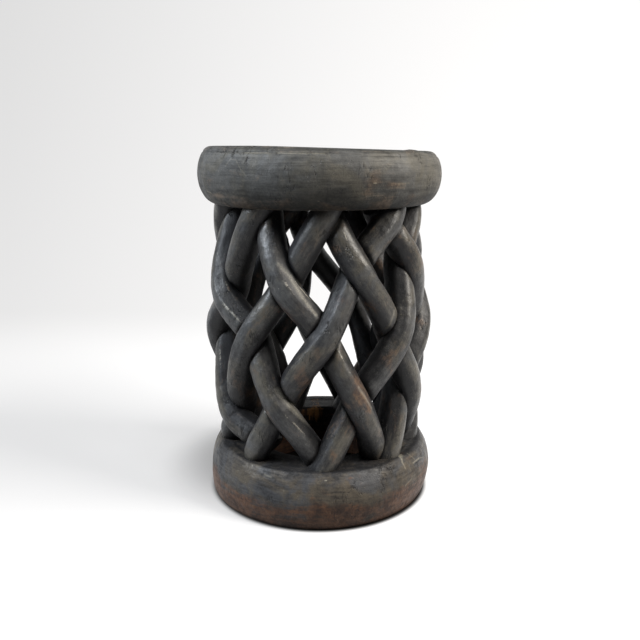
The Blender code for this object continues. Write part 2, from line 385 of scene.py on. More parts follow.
def spots_on(mesh, spots, side=1):
    """Sum of soft spots on the outer side of a mesh, or with side -1 on its inner side. A
    spot is an angle in degrees, a height, a half width, a half height and an amount."""
    places, normals = mesh_points(mesh)
    reach = np.hypot(places[:, 0], places[:, 1])
    angles = np.degrees(np.arctan2(places[:, 0], -places[:, 1]))
    total = np.zeros(len(places))
    for angle, height, half_width, half_height, amount in spots:
        turn = (angles - angle + 180) % 360 - 180
        sideways = np.radians(turn) * reach / half_width
        upward = (places[:, 2] - height) / half_height
        total += amount * np.exp(-sideways ** 2 - upward ** 2)
    return total * (side * facing_out(places, normals) > SPOT_FACING_LIMIT)


def paint_wear(mesh, bare, raw, spared=0.0, steepness=1.0):
    """Hands reach what faces out and up, and rub it, less where it is spared. The same share
    paints light and shade: faces turned up and out are painted lighter, and flanks turned away
    are painted darker. The skin place unrolls the surface round the stool's axis, for the
    strokes that are drawn on it."""
    places, normals = mesh_points(mesh)
    turned_away = steepness * (1 - facing_out(places, normals))
    wear_and_light = WEAR_AND_LIGHT_SHARE - WEAR_AND_SHADE_TURN_SHARE * turned_away + WEAR_AND_LIGHT_TOP_SHARE * normals[:, 2] - spared
    angles = np.arctan2(places[:, 0], -places[:, 1])
    skin = np.stack((angles * SKIN_RADIUS, places[:, 2], np.zeros_like(angles)), axis=1)
    paint_attribute(mesh, "wear_and_light", np.clip(wear_and_light, 0, 1))
    paint_attribute(mesh, "bare", bare)
    paint_attribute(mesh, "raw", raw)
    paint_attribute(mesh, "skin_place", skin)


def add_piece(name, mesh, material):
    piece = bpy.data.objects.new(name, mesh)
    piece.data.materials.append(material)
    bpy.context.scene.collection.objects.link(piece)
    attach(piece, "root")
    return piece


def new_group(name, inputs, outputs):
    """An empty node group. Inputs and outputs are names by socket type."""
    made = bpy.data.node_groups.new(name, "ShaderNodeTree")
    for side, sockets in (("INPUT", inputs), ("OUTPUT", outputs)):
        for kind, labels in sockets.items():
            for label in labels:
                made.interface.new_socket(label, in_out=side, socket_type=kind)
    return made, made.nodes.new("NodeGroupInput").outputs, made.nodes.new("NodeGroupOutput").inputs


def speckle(tree, vector, scale, detail=3.0, roughness=0.55, distortion=0.0):
    """Noise of a scale given in grains a metre."""
    settings = {"Vector": vector, "Scale": scale, "Detail": detail,
                "Roughness": roughness, "Distortion": distortion}
    return add_node(tree, "ShaderNodeTexNoise", settings).outputs["Fac"]


def swings(tree, start, *parts):
    """Start, plus the swing of each noise about its middle times its weight."""
    for noise_value, weight in parts:
        swing = calculate(tree, "MULTIPLY_ADD", noise_value, weight, -weight / 2)
        start = calculate(tree, "ADD", start, swing)
    return start


def stretched(tree, vector, scale):
    return add_node(tree, "ShaderNodeMapping", {"Vector": vector, "Scale": scale}).outputs[0]


COLOUR = "NodeSocketColor"
VALUE = "NodeSocketFloat"
VECTOR = "NodeSocketVector"

# Stained surface: cloudy dark stain, patches rubbed paler, fine streaks along the cut, patches
# worn through to brown wood, raw wood, pale scuffs, painted shade in the hollows and dark
# cracks. The rubbed share also carries painted light and painted shade.
CLOUD_GRAINS = 30.0
MOTTLE_GRAINS = 200.0
PATCH_GRAINS = 24.0
GRIT_GRAINS = 620.0
STREAK_GRAINS = 260.0
BAND_GRAINS = 85.0
FLECK_GRAINS = 460.0
WARMTH_GRAINS = 19.0
WOOD_GRAINS = 240.0
WOOD_GRAIN_SHAPE = (1.0, 1.0, 0.12)
SHADE_AND_CRACK_COLOUR = (0.003, 0.003, 0.003, 1.0)

stain_group, given, result = new_group(
    "stained surface",
    {COLOUR: ("Stain", "Rubbed", "Rubbed Warm", "Bare", "Bare Dark", "Raw", "Scuff"),
     VECTOR: ("Streak Place",),
     VALUE: ("Contrast", "Rubbed And Lit Share", "Bare Share", "Raw Share", "Corner", "Scratch",
             "Painted Shade", "Crack")},
    {COLOUR: ("Color",), VALUE: ("Rubbing And Light", "Mottle")})
tree = stain_group
place = add_node(tree, "ShaderNodeTexCoord").outputs["Object"]
cloud = speckle(tree, place, CLOUD_GRAINS, 4.0, 0.6, 0.4)
mottle = speckle(tree, place, MOTTLE_GRAINS, 4.0, 0.7, 0.3)
patch = speckle(tree, place, PATCH_GRAINS, 4.0, 0.6, 0.9)
grit = speckle(tree, place, GRIT_GRAINS, 3.0, 0.75)
streaks = speckle(tree, given["Streak Place"], STREAK_GRAINS, 4.0, 0.7)
bands = speckle(tree, given["Streak Place"], BAND_GRAINS, 4.0, 0.65, 0.6)
rubbing_and_light = swings(tree, 0.0, (cloud, 1.7), (mottle, 1.0), (streaks, 1.5), (bands, 0.8),
                 (grit, 0.6))
rubbing_and_light = calculate(tree, "MULTIPLY_ADD", rubbing_and_light, given["Contrast"], given["Rubbed And Lit Share"])
rubbing_and_light = ease(tree, rubbing_and_light, -0.05, 1.05)
bareness = swings(tree, given["Bare Share"], (patch, 2.2), (bands, 1.2), (mottle, 0.5),
                  (streaks, 0.8))
bareness = ease(tree, bareness, 0.30, 1.05)
tone = swings(tree, 0.0, (bands, 0.7), (cloud, 1.3), (streaks, 0.35), (mottle, 0.9))
tone = ease(tree, tone, -0.24, 0.24)
flecks = ease(tree, speckle(tree, place, FLECK_GRAINS, 3.0, 0.8), 0.63, 0.72, 0.0, 0.7)
flecks = calculate(tree, "MULTIPLY", flecks, ease(tree, cloud, 0.45, 0.62))
corner = swings(tree, -0.45, (cloud, 5.0), (mottle, 2.0), (grit, 2.5))
corner = calculate(tree, "ADD", corner, calculate(tree, "MULTIPLY", given["Corner"], 1.1))
corner = calculate(tree, "MULTIPLY", ease(tree, corner, 0.3, 1.3), given["Corner"])
warmth = ease(tree, speckle(tree, place, WARMTH_GRAINS, 3.0, 0.65, 0.8), 0.40, 0.60)
rubbed = blend(tree, warmth, given["Rubbed"], given["Rubbed Warm"])
colour = blend(tree, rubbing_and_light, given["Stain"], rubbed)
colour = blend(tree, bareness, colour, blend(tree, tone, given["Bare Dark"], given["Bare"]))
grain = speckle(tree, stretched(tree, place, WOOD_GRAIN_SHAPE), WOOD_GRAINS, 3.0, 0.6)
raw = ease(tree, swings(tree, given["Raw Share"], (patch, 1.8), (grain, 1.4)), 0.35, 0.95)
colour = blend(tree, raw, colour, given["Raw"])
scratch = calculate(tree, "MULTIPLY", given["Scratch"], ease(tree, grit, 0.36, 0.58, 0.4, 1.0))
pale = calculate(tree, "MAXIMUM", calculate(tree, "MAXIMUM", corner, flecks), scratch)
colour = blend(tree, pale, colour, given["Scuff"])
# Painted shade in creases, recesses and at the foot takes the dark colour, and so do the real
# cracks.
dark = calculate(tree, "MAXIMUM", given["Painted Shade"], given["Crack"])
colour = blend(tree, dark, colour, SHADE_AND_CRACK_COLOUR)
tree.links.new(colour, result["Color"])
tree.links.new(rubbing_and_light, result["Rubbing And Light"])
tree.links.new(mottle, result["Mottle"])

# Cut surface: the small flats that the chisel left, fine scratches, and short upright
# checks where the log dried.
FLAT_GRAINS = 95.0
FLAT_HEIGHT = 0.9
SCRATCH_GRAINS = 420.0
SCRATCH_SHAPE = (1.0, 1.0, 0.09)
SCRATCH_HEIGHT = 0.16
PIT_GRAINS = 900.0
CHECK_GRAINS = 120.0
CHECK_SHAPE = (1.0, 1.0, 0.16)
CHECK_HALF_WIDTH = 0.016
CHECK_AREA_GRAINS = 38.0
CHECK_DEPTH = 0.8
CHECK_COLOUR = (0.004, 0.004, 0.004, 1.0)

cut_group, given, result = new_group(
    "cut surface", {VALUE: ("Flats", "Scratches", "Checks")}, {VALUE: ("Height", "Check")})
tree = cut_group
place = add_node(tree, "ShaderNodeTexCoord").outputs["Object"]
flats = add_node(tree, "ShaderNodeTexVoronoi", {"Vector": place, "Scale": FLAT_GRAINS},
                 feature="SMOOTH_F1").outputs["Distance"]
flats = calculate(tree, "MULTIPLY", flats, given["Flats"])
grain = speckle(tree, stretched(tree, place, SCRATCH_SHAPE), SCRATCH_GRAINS, 2.0, 0.6)
pitted = speckle(tree, place, PIT_GRAINS, 2.0, 0.6)
scratches = calculate(tree, "ADD", grain, pitted)
scratches = calculate(tree, "MULTIPLY", scratches, given["Scratches"])
line = speckle(tree, stretched(tree, place, CHECK_SHAPE), CHECK_GRAINS, 3.0, 0.6, 0.3)
line = calculate(tree, "ABSOLUTE", calculate(tree, "SUBTRACT", line, 0.5))
line = ease(tree, line, 0.0, CHECK_HALF_WIDTH, 1.0, 0.0)
where = ease(tree, speckle(tree, place, CHECK_AREA_GRAINS, 1.0), 0.57, 0.64)
check = calculate(tree, "MULTIPLY", calculate(tree, "MULTIPLY", line, where), given["Checks"])
height = calculate(tree, "ADD", calculate(tree, "MULTIPLY", flats, FLAT_HEIGHT),
                   calculate(tree, "MULTIPLY", scratches, SCRATCH_HEIGHT))
height = calculate(tree, "SUBTRACT", height, calculate(tree, "MULTIPLY", check, CHECK_DEPTH))
tree.links.new(height, result["Height"])
tree.links.new(check, result["Check"])

# Stroke: one thin mark, such as a scratch or a crack, from a place on the skin along a run.
# It fades from its middle line to its half width.
stroke_group, given, result = new_group(
    "stroke", {VECTOR: ("Place", "Start", "Along"), VALUE: ("Half Width",)}, {VALUE: ("Mask",)})
tree = stroke_group
offset = vector_math(tree, "SUBTRACT", given["Place"], given["Start"], "Vector")
travel = vector_math(tree, "DOT_PRODUCT", offset, given["Along"])
whole = vector_math(tree, "DOT_PRODUCT", given["Along"], given["Along"])
share = add_node(tree, "ShaderNodeMath", {0: travel, 1: whole}, operation="DIVIDE",
                 use_clamp=True).outputs[0]
nearest = vector_math(tree, "MULTIPLY", given["Along"], share, "Vector")
gap = vector_math(tree, "DISTANCE", offset, nearest)
tree.links.new(ease(tree, gap, 0.0, given["Half Width"], 1.0, 0.0), result["Mask"])


def read_attribute(tree, name, socket="Fac"):
    return add_node(tree, "ShaderNodeAttribute", attribute_name=name).outputs[socket]


def drawn(tree, strokes):
    """Mask of strokes. A stroke has two ends, each an angle in degrees and a height, a half
    width and a strength."""
    skin = read_attribute(tree, "skin_place", "Vector")
    mask = 0.0
    for (angle, height), (end_angle, end_height), half_width, strength in strokes:
        start = Vector((math.radians(angle) * SKIN_RADIUS, height, 0.0))
        end = Vector((math.radians(end_angle) * SKIN_RADIUS, end_height, 0.0))
        stroke = add_node(tree, "ShaderNodeGroup", {"Place": skin, "Start": start,
                                                    "Along": end - start,
                                                    "Half Width": half_width},
                          node_tree=stroke_group)
        mark = calculate(tree, "MULTIPLY", stroke.outputs["Mask"], strength)
        mask = calculate(tree, "MAXIMUM", mask, mark)
    return mask


def stained_wood(name, colours, shares, surface, contrast, polish, gloss, relief, scratches,
                 cracks=()):
    """Material of one kind of piece. It reads what its meshes keep at their points: wear with
    painted light, bare, raw, corner, painted shade, the streak place and the skin place. Polish
    is the roughness of stained and of rubbed wood."""
    made, tree = new_material(name)
    rubbed_start = shares["Rubbed"] - WEAR_AND_LIGHT_MIDDLE_SHARE
    raw = read_attribute(tree, "raw")
    stain = add_node(tree, "ShaderNodeGroup", {
        "Streak Place": read_attribute(tree, "streak_place", "Vector"),
        "Contrast": contrast,
        "Rubbed And Lit Share": calculate(tree, "ADD", read_attribute(tree, "wear_and_light"), rubbed_start),
        "Bare Share": calculate(tree, "ADD", read_attribute(tree, "bare"), shares["Bare"]),
        "Raw Share": calculate(tree, "SUBTRACT", raw, RAW_MIDDLE_SHARE),
        "Corner": read_attribute(tree, "corner"),
        "Scratch": drawn(tree, scratches),
        "Crack": drawn(tree, cracks),
        "Painted Shade": read_attribute(tree, "painted_shade")}, node_tree=stain_group)
    for label, value in colours.items():
        stain.inputs[label].default_value = (*value, 1.0)
    cuts = add_node(tree, "ShaderNodeGroup", surface, node_tree=cut_group)
    colour = blend(tree, cuts.outputs["Check"], stain.outputs["Color"], CHECK_COLOUR)
    sheen = ease(tree, stain.outputs["Rubbing And Light"], 0.0, 1.0, *polish)
    height = calculate(tree, "MULTIPLY_ADD", stain.outputs["Mottle"], MOTTLE_HEIGHT,
                       cuts.outputs["Height"])
    bump = add_node(tree, "ShaderNodeBump", {"Height": height, "Distance": relief,
                                             "Strength": 1.0})
    shader = add_node(tree, "ShaderNodeBsdfPrincipled",
                      {"Base Color": colour, "Roughness": sheen, "Specular IOR Level": gloss,
                       "Normal": bump.outputs[0]})
    add_node(tree, "ShaderNodeOutputMaterial", {"Surface": shader.outputs[0]})
    return made


base_wood = stained_wood(
    "base wood",
    colours={"Stain": (0.010, 0.010, 0.011), "Rubbed": (0.075, 0.075, 0.077),
             "Rubbed Warm": (0.098, 0.083, 0.064), "Bare": (0.106, 0.056, 0.034),
             "Bare Dark": (0.036, 0.022, 0.017), "Raw": (0.36, 0.19, 0.080),
             "Scuff": (0.27, 0.25, 0.20)},
    shares={"Rubbed": 0.50, "Bare": 0.06},
    surface={"Flats": 0.8, "Scratches": 1.0, "Checks": 0.6},
    contrast=0.7, polish=(0.60, 0.36), gloss=0.18, relief=0.0012, scratches=BASE_SCUFFS)

base_profile = quarter_bulge((BASE_RIM_RADIUS, BASE_HEIGHT), (BASE_RADIUS, BASE_WIDEST_HEIGHT),
                             BASE_EDGE_POINTS, BASE_SHOULDER_EASE)
base_profile += quarter_bulge((BASE_FOOT_RADIUS - BASE_FOOT_ROUNDING, 0.0),
                              (BASE_RADIUS, BASE_WIDEST_HEIGHT), BASE_EDGE_POINTS)[-2::-1]
base_profile += straight((BASE_FOOT_RADIUS - 2 * BASE_FOOT_ROUNDING, 0.0),
                         (BASE_BORE_RADIUS + BASE_BORE_ROUNDING, 0.0), BASE_FOOT_POINTS)
base_profile += quarter_bulge((BASE_BORE_RADIUS + BASE_BORE_ROUNDING, 0.0),
                              (BASE_BORE_RADIUS, BASE_BORE_ROUNDING), BASE_CORNER_POINTS)
base_profile += straight((BASE_BORE_RADIUS, 1.5 * BASE_BORE_ROUNDING),
                         (BASE_BORE_RADIUS, LEDGE_HEIGHT - BASE_BORE_ROUNDING), BASE_BORE_POINTS)
base_profile += quarter_bulge((BASE_BORE_RADIUS + BASE_BORE_ROUNDING, LEDGE_HEIGHT),
                              (BASE_BORE_RADIUS, LEDGE_HEIGHT - BASE_BORE_ROUNDING),
                              BASE_CORNER_POINTS)[::-1]
base_profile += straight((BASE_BORE_RADIUS + 1.5 * BASE_BORE_ROUNDING, LEDGE_HEIGHT),
                         (BASE_RIM_RADIUS - BASE_LEDGE_SLOPE, LEDGE_HEIGHT), BASE_LEDGE_POINTS)
for step in range(BASE_SLOPE_POINTS):
    share = step / BASE_SLOPE_POINTS
    base_profile.append((BASE_RIM_RADIUS - BASE_LEDGE_SLOPE * (1 - share),
                         LEDGE_HEIGHT + BASE_LEDGE_DEPTH * (1 - math.cos(share * math.pi)) / 2))
for turn in range(BASE_RIM_SOFTENINGS):
    for index, (radius, height) in enumerate(base_profile):
        if radius > LEDGE_STEP_RADIUS and height > BASE_RIM_SOFT_HEIGHT:
            before, after = base_profile[index - 1], base_profile[(index + 1) % len(base_profile)]
            base_profile[index] = ((before[0] + 2 * radius + after[0]) / 4,
                                   (before[1] + 2 * height + after[1]) / 4)


def reshape_base(angle, radius, height):
    outward = Vector((math.sin(angle), -math.cos(angle), 0.0))
    point = outward * radius + Vector((0.0, 0.0, height))
    off = hand_cut(point, WAVE_DEPTH, TOOL_DEPTH)
    if radius < BASE_BORE_RADIUS + BASE_BORE_ROUNDING:
        off *= BORE_ROUGHNESS
    upper = min(height / BASE_WIDEST_HEIGHT, 1.0)
    shift = BASE_FOOT_SHIFT + (BASE_WAIST_SHIFT - BASE_FOOT_SHIFT) * upper
    rise = min(off, 0.0) if height > BASE_WIDEST_HEIGHT and radius < BASE_RIM_RADIUS else 0.0
    if radius < LEDGE_STEP_RADIUS and height >= LEDGE_HEIGHT:
        rise -= LEDGE_STEP_DEPTH
    return point + outward * off * upper + Vector((shift, 0.0, rise))


base_mesh = turned_mesh("base_ring_carved", base_profile, True, reshape_base)
base_places, _ = mesh_points(base_mesh)
base_heights = base_places[:, 2]
base_reach = np.hypot(base_places[:, 0], base_places[:, 1])
inside = fading(base_reach, BASE_BORE_RADIUS + 2 * BASE_BORE_ROUNDING, BASE_BORE_ROUNDING)
inside *= base_heights < LEDGE_HEIGHT - 0.5 * BASE_BORE_ROUNDING
low_down = fading(base_heights, BASE_BARE_HEIGHT, BASE_BARE_FADE)
# Ledge paint by distance from the axis: partly grime, partly painted shade under the lattice and
# painted light on the rim. The far half of the ledge is painted dark as painted shade.
spared = np.interp(base_reach, LEDGE_WEAR_AND_SHADE_RADII, LEDGE_WEAR_AND_SHADE_SHARES)
spared += BACK_LEDGE_SHADE_SHARE * (base_reach < LEDGE_STEP_RADIUS) * (base_places[:, 1] > 0)
spared *= base_heights > BASE_RIM_SOFT_HEIGHT
# Raw wood in the bore, placed where light falls through the lattice: partly a painted pool of
# light.
raw_and_lit_patch = spots_on(base_mesh, BORE_RAW_AND_LIT_SPOTS, -1) * (base_reach < LEDGE_STEP_RADIUS)
paint_wear(base_mesh, np.maximum(BORE_BARE_SHARE * inside, BASE_BARE_SHARE * low_down)
           + spots_on(base_mesh, BASE_SPOTS), BORE_RAW_SHARE * inside + raw_and_lit_patch, spared)
# Painted shade: the lowest few millimetres of the ring, where it meets the floor, are painted
# dark.
foot_shade = FOOT_SHADE_SHARE * fading(base_heights, FOOT_SHADE_HEIGHT, FOOT_SHADE_FADE)
paint_attribute(base_mesh, "painted_shade", foot_shade * (1 - inside))
paint_attribute(base_mesh, "streak_place", base_places * BASE_STREAK_SCALE)
base_ring = add_piece("base_ring_carved", base_mesh, base_wood)
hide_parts("base_ring")

# Woven strands. Nine lean right and nine lean left as they rise round the barrel, cut in
# the same log. Each passes over one and under the next, and dives with a rounded end.
LATTICE_FOOT_RADIUS = 0.109
LATTICE_BELLY_RADIUS = 0.123
LATTICE_HEAD_RADIUS = 0.106
LATTICE_BELLY_HEIGHT = 0.215
LATTICE_LEAN = -0.0025
WEAVE_DEPTH = 0.006
STRAND_WIDTH = 0.0324
STRAND_THICKNESS = 0.032
STRAND_INNER_THICKNESS = 0.020
STRAND_SQUARENESS = 2.05
STRANDS_PER_WAY = 9
ROW_HEIGHT_SHARES = (0.00, 0.25, 0.515, 0.755, 1.00)
CROSSING_TURN_SHARES = (
    (0.10, -0.02, 0.00, 0.03, 0.03, 0.11, 0.05, 0.00, -0.03),
    (-0.08, -0.05, -0.10, -0.07, 0.06, 0.04, 0.02, 0.00, 0.00),
    (-0.10, -0.05, -0.05, 0.00, 0.07, 0.20, 0.05, 0.05, 0.00),
    (-0.15, -0.05, -0.10, 0.05, 0.06, 0.07, 0.10, 0.00, 0.18),
    (-0.05, 0.00, 0.05, 0.11, 0.14, 0.17, 0.08, 0.00, 0.00),
)
CROSSING_RISE_SHARES = (
    (0.00, 0.05, 0.10, 0.23, -0.06, -0.20, 0.00, 0.00, 0.00),
    (0.00, -0.15, -0.30, 0.04, -0.01, 0.13, 0.05, 0.00, 0.08),
    (0.00, 0.20, -0.10, -0.08, 0.05, 0.00, 0.00, 0.00, 0.00),
    (0.25, -0.10, -0.30, -0.10, 0.08, 0.11, 0.05, 0.15, 0.08),
    (0.00, 0.00, 0.00, 0.00, 0.02, -0.14, -0.05, 0.00, 0.00),
)
STRAND_SIDES = 44
RINGS_PER_ROW = 42
END_ROWS = 0.42
STRAND_SINK = 0.003
OVER_END_ROUNDING = 0.0065
OUTER_DIVE = 0.0060
INNER_DIVE = 0.0045
END_DIVE_SHARE = 0.4
HIDDEN_END_ROWS = 0.18
FACET_ANGLES = (0.50, 2.60)
FACET_DEPTHS = (0.0014, 0.0002)
FACET_SWAY = 0.0008
FACET_SOFTNESS = 0.0004
STRAND_WAVE_DEPTH = 0.0007
STRAND_TOOL_DEPTH = 0.0003
GIRTH_SWAY_SHARE = 0.04
INNER_BARE_SHARE = 0.12
STRAND_SPOTS = ((18.5, 0.172, 0.009, 0.024, 0.9), (-9, 0.185, 0.008, 0.018, 0.6),
                (24, 0.150, 0.006, 0.018, 0.6), (-11, 0.126, 0.007, 0.010, 0.5),
                (25, 0.272, 0.010, 0.014, 0.5), (10, 0.339, 0.006, 0.008, 0.5),
                (33, 0.224, 0.010, 0.014, 0.4), (-25, 0.148, 0.008, 0.010, 0.4),
                (-49, 0.188, 0.007, 0.016, 0.5), (7, 0.094, 0.006, 0.008, 0.5),
                (-1, 0.224, 0.006, 0.016, 0.4), (-49, 0.130, 0.008, 0.014, 0.4),
                (14, 0.121, 0.008, 0.012, 0.4), (-51, 0.276, 0.006, 0.012, 0.3))
STRAND_RIDGES = ((-9, 0.301, 0.016, 0.026, 1.0), (8, 0.218, 0.012, 0.020, 1.0),
                 (-13, 0.144, 0.018, 0.028, 1.0), (-52, 0.262, 0.018, 0.030, 0.7),
                 (-67, 0.188, 0.020, 0.024, 0.7), (35, 0.258, 0.016, 0.028, 0.8),
                 (43, 0.170, 0.014, 0.030, 0.5))
CORNER_SHARE = 0.35
# How steeply the painted shade and the wear darken a strand's flanks.
STRAND_WEAR_AND_SHADE_STEEPNESS = 1.9
INNER_RAW_SHARE = 0.18
STRAND_SCRATCHES = (((12.5, 0.353), (13.5, 0.345), 0.0010, 0.8),
                    ((-20, 0.319), (-14.5, 0.305), 0.0030, 0.30),
                    ((-14.5, 0.305), (-11, 0.2925), 0.0026, 0.45),
                    ((-11, 0.2925), (-8, 0.2815), 0.0030, 0.55),
                    ((-8, 0.2815), (-1.5, 0.2615), 0.0026, 0.45),
                    ((-22, 0.172), (-16.5, 0.154), 0.0034, 0.40),
                    ((-16.5, 0.154), (-9.5, 0.1335), 0.0030, 0.60),
                    ((-9.5, 0.1335), (-5, 0.1225), 0.0030, 0.70),
                    ((19, 0.1765), (22.5, 0.163), 0.0030, 0.35),
                    ((22.5, 0.163), (26, 0.149), 0.0026, 0.35),
                    ((40, 0.260), (38, 0.2395), 0.0030, 0.35))
STRAND_CRACKS = (((13, 0.341), (13.5, 0.327), 0.0009, 0.9),
                 ((28, 0.2985), (30, 0.3005), 0.0010, 0.9),
                 ((4.5, 0.111), (6.5, 0.1155), 0.0010, 1.0),
                 ((6.5, 0.1155), (8, 0.1145), 0.0008, 0.9))
# Painted shade: dark spots on strands that lie deep in shade.
STRAND_SHADE_SPOTS = ((-47, 0.297, 0.008, 0.020, 0.9), (-40, 0.288, 0.012, 0.022, 0.95))
CREASE_SHADE_WIDTH = 0.0022
FORWARD_STEP = 0.125
SWAY_GAIN = 1.6
GIRTH_SWAY_ROWS = 0.9
FACET_SWAY_ROWS = 0.6
FACET_TURN = 0.25
FACET_TURN_ROWS = 0.8
CORNER_BEND = 0.17
CORNER_BEND_FADE = 0.15
INNER_START = 0.2 * STRAND_THICKNESS
STRAND_STREAK_SCALE = 0.22
LAP_ROWS = 0.62
LAP_LINE_ROWS = 0.7
LAP_LINE_POINTS = 15
LAP_SKIN_RISE = 0.011
SEAT_UNDERSIDE_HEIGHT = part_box("seat")[0].z
LATTICE_HEIGHT = SEAT_UNDERSIDE_HEIGHT - LEDGE_HEIGHT
ROW_COUNT = len(ROW_HEIGHT_SHARES)
ROW_RISE = LATTICE_HEIGHT / (ROW_COUNT - 1)
SPACING_ANGLE = 2 * math.pi / STRANDS_PER_WAY


def barrel_radius(height):
    below = height < LATTICE_BELLY_HEIGHT
    end_radius = np.where(below, LATTICE_FOOT_RADIUS, LATTICE_HEAD_RADIUS)
    reach = np.where(below, LATTICE_BELLY_HEIGHT - LEDGE_HEIGHT,
                     SEAT_UNDERSIDE_HEIGHT - LATTICE_BELLY_HEIGHT)
    share = (height - LATTICE_BELLY_HEIGHT) / reach
    return LATTICE_BELLY_RADIUS + (end_radius - LATTICE_BELLY_RADIUS) * share * share


def smooth_values(stops, places):
    """A smooth curve through evenly placed stops, read at places, straight past its ends."""
    last = len(stops) - 1
    stops = np.array(stops)
    ahead = np.concatenate(([2 * stops[0] - stops[1]], stops, [2 * stops[-1] - stops[-2]]))
    slopes = (ahead[2:] - ahead[:-2]) / 2
    index = np.clip(np.floor(places).astype(int), 0, last - 1)
    share = np.clip(places - index, 0, 1)
    past = places - index - share
    rise = stops[index + 1] - stops[index]
    bend = slopes[index] * (1 - share) - slopes[index + 1] * share
    eased = share * share * (3 - 2 * share)
    end_slope = np.where(past < 0, slopes[0], slopes[last])
    return stops[index] + rise * eased + bend * share * (1 - share) + past * end_slope


def crossing(row, column):
    """Angle and height of a crossing. Odd rows stand half a spacing round from even ones."""
    places = len(CROSSING_TURN_SHARES[row])
    entry = (column + places // 2) % places
    angle = (column + 0.5 * (row % 2) + CROSSING_TURN_SHARES[row][entry]) * SPACING_ANGLE
    height = LEDGE_HEIGHT + ROW_HEIGHT_SHARES[row] * LATTICE_HEIGHT
    return angle, height + CROSSING_RISE_SHARES[row][entry] * ROW_RISE


def crossing_column(way, foot, row):
    return foot + row // 2 if way > 0 else foot - (row + 1) // 2


def strand_line(way, foot, places):
    """Angles and heights of a strand's middle at places counted in rows from its foot."""
    stops = [crossing(row, crossing_column(way, foot, row)) for row in range(ROW_COUNT)]
    angles, heights = zip(*stops)
    return smooth_values(angles, places), smooth_values(heights, places)


def strand_middle(way, foot, places):
    """Middles of a strand in space, and the way out of the barrel at each."""
    angles, heights = strand_line(way, foot, places)
    radius = barrel_radius(heights) + way * WEAVE_DEPTH * np.cos(np.pi * places)
    lean = LATTICE_LEAN * (heights - LEDGE_HEIGHT) / LATTICE_HEIGHT
    outward = np.stack((np.sin(angles), -np.cos(angles), np.zeros_like(angles)), axis=1)
    middle = outward * radius[:, None]
    middle[:, 0] += lean
    middle[:, 2] = heights
    return middle, outward


def unit(vectors):
    return vectors / np.linalg.norm(vectors, axis=-1, keepdims=True)


def soft_over(value, softness):
    """How far a value goes above zero, with a rounded start."""
    return softness * np.logaddexp(0.0, value / softness)


def line_distance(points, line):
    """Distance of flat points to a polyline."""
    best = np.full(len(points), np.inf)
    for start, end in zip(line[:-1], line[1:]):
        run = end - start
        share = np.clip((points - start) @ run / (run @ run), 0, 1)
        best = np.minimum(best, np.linalg.norm(points - start - share[:, None] * run, axis=1))
    return best


def dive_depth(edge_gap, rounding, depth):
    """How far a rounded end has dropped at a gap from the edge of the strand above it."""
    share = np.clip((rounding - edge_gap) / rounding, 0, 1)
    return depth * (1 - np.sqrt(1 - share * share))


def slow_sway(places, seed, period):
    """Slow seeded wandering between about -1 and 1 along a strand."""
    waves = [noise.noise(Vector((place / period, seed, 0.5))) for place in places]
    return np.array(waves) * SWAY_GAIN


def strand_places(way, foot):
    """Places along a strand, counted in rows from its foot. Where it lies under at a crossing
    that stands clear of the ledge or the seat, it stops there, out of sight."""
    count = round((ROW_COUNT - 1 + 2 * END_ROWS) * RINGS_PER_ROW) + 1
    places = np.arange(count) / RINGS_PER_ROW - END_ROWS
    if way < 0:
        head = ROW_COUNT - 1
        if crossing(0, foot)[1] > LEDGE_HEIGHT:
            places = places[places > -HIDDEN_END_ROWS]
        if crossing(head, crossing_column(way, foot, head))[1] < SEAT_UNDERSIDE_HEIGHT:
            places = places[places < head + HIDDEN_END_ROWS]
    return places


def strand_section(places, seed):
    """How far up and out from a strand's middle the points of its rings lie, with the long
    flats that the knife left on it."""
    turns = (np.arange(STRAND_SIDES) + 0.5) / STRAND_SIDES * 2 * np.pi
    power = 2 / STRAND_SQUARENESS
    up = np.copysign(np.abs(np.cos(turns)) ** power, np.cos(turns))[None, :]
    out = np.copysign(np.abs(np.sin(turns)) ** power, np.sin(turns))[None, :]
    girth = 1 + GIRTH_SWAY_SHARE * slow_sway(places, seed, GIRTH_SWAY_ROWS)[:, None]
    up = up * STRAND_WIDTH / 2 * girth
    out = out * np.where(out > 0, STRAND_THICKNESS / 2, STRAND_INNER_THICKNESS)
    out = out * np.ones_like(girth)

    for order, (facet_angle, facet_depth) in enumerate(zip(FACET_ANGLES, FACET_DEPTHS)):
        sway = slow_sway(places, seed + 1.7 * (order + 1), FACET_SWAY_ROWS)[:, None]
        turning = slow_sway(places, seed + 31 + order, FACET_TURN_ROWS)[:, None]
        lean_angle = facet_angle + FACET_TURN * turning
        normal_up, normal_out = np.cos(lean_angle), np.sin(lean_angle)
        reach = np.max(up * normal_up + out * normal_out, axis=1, keepdims=True)
        level = reach - facet_depth - FACET_SWAY * sway
        proud = soft_over(up * normal_up + out * normal_out - level, FACET_SOFTNESS)
        up = up - proud * normal_up
        out = out - proud * normal_out
    return up, out


def section_corners(up, out):
    """1 where a ring bends sharply on its outer side, and 0 where it runs smooth."""
    before = np.stack((up - np.roll(up, 1, 1), out - np.roll(out, 1, 1)), axis=2)
    after = np.roll(before, -1, 1)
    bending = np.abs(np.arctan2(before[..., 0] * after[..., 1] - before[..., 1] * after[..., 0],
                                (before * after).sum(2)))
    return np.clip((bending - CORNER_BEND) / CORNER_BEND_FADE, 0, 1) * (out > 0)


